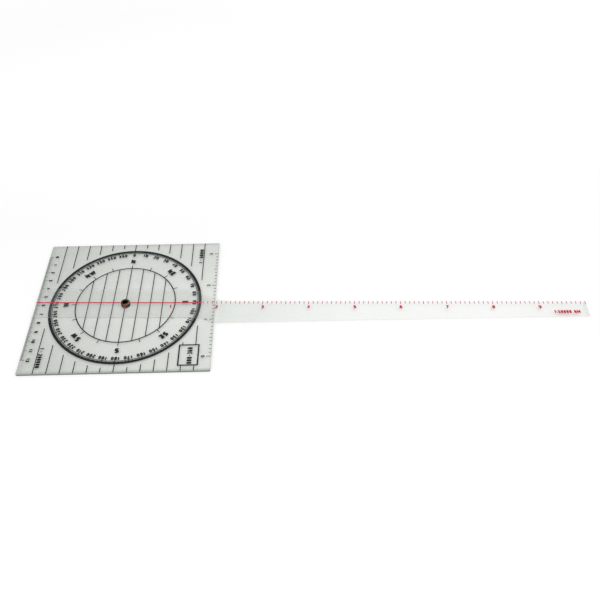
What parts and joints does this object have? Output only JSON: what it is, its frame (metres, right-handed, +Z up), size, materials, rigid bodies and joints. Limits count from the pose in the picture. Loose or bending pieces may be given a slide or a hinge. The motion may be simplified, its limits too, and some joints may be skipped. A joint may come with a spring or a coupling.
{
  "type": "course ruler",
  "caption": "Chart plotter for laying off courses: a clear square protractor plate with a compass rose and edge scales, and a long clear ruler arm turning on a hollow brass eyelet.",
  "frame": {"origin": "pivot axis of the arm, in the plate's flat underside", "axes": "+Z up along the pivot axis, +X towards the plate's east edge and the arm's tip side, +Y towards the plate's north edge"},
  "size_m": [0.4445, 0.138, 0.0035],
  "materials": {
    "plate_clear": "clear, faintly grey-green",
    "arm_clear": "clear",
    "black_ink": "matt print",
    "red_ink": "matt print",
    "brass": "polished"
  },
  "bodies": {
    "base": {"base_plate": "plate_clear", "compass_ring": "black_ink", "point_circle": "black_ink", "meridian_lines": "black_ink", "west_scale": "black_ink", "east_scale": "black_ink", "label_frame": "black_ink", "pivot_eyelet": "brass"},
    "arm": {"ruler_arm": "arm_clear", "arm_centre_line": "red_ink", "arm_edge_scale": "red_ink"}
  },
  "joints": [
    {"name": "arm_pivot", "type": "hinge", "parent": "base", "child": "arm", "pos_m": [0, 0, 0.0021], "axis": [0, 0, 1], "continuous": true}
  ]
}
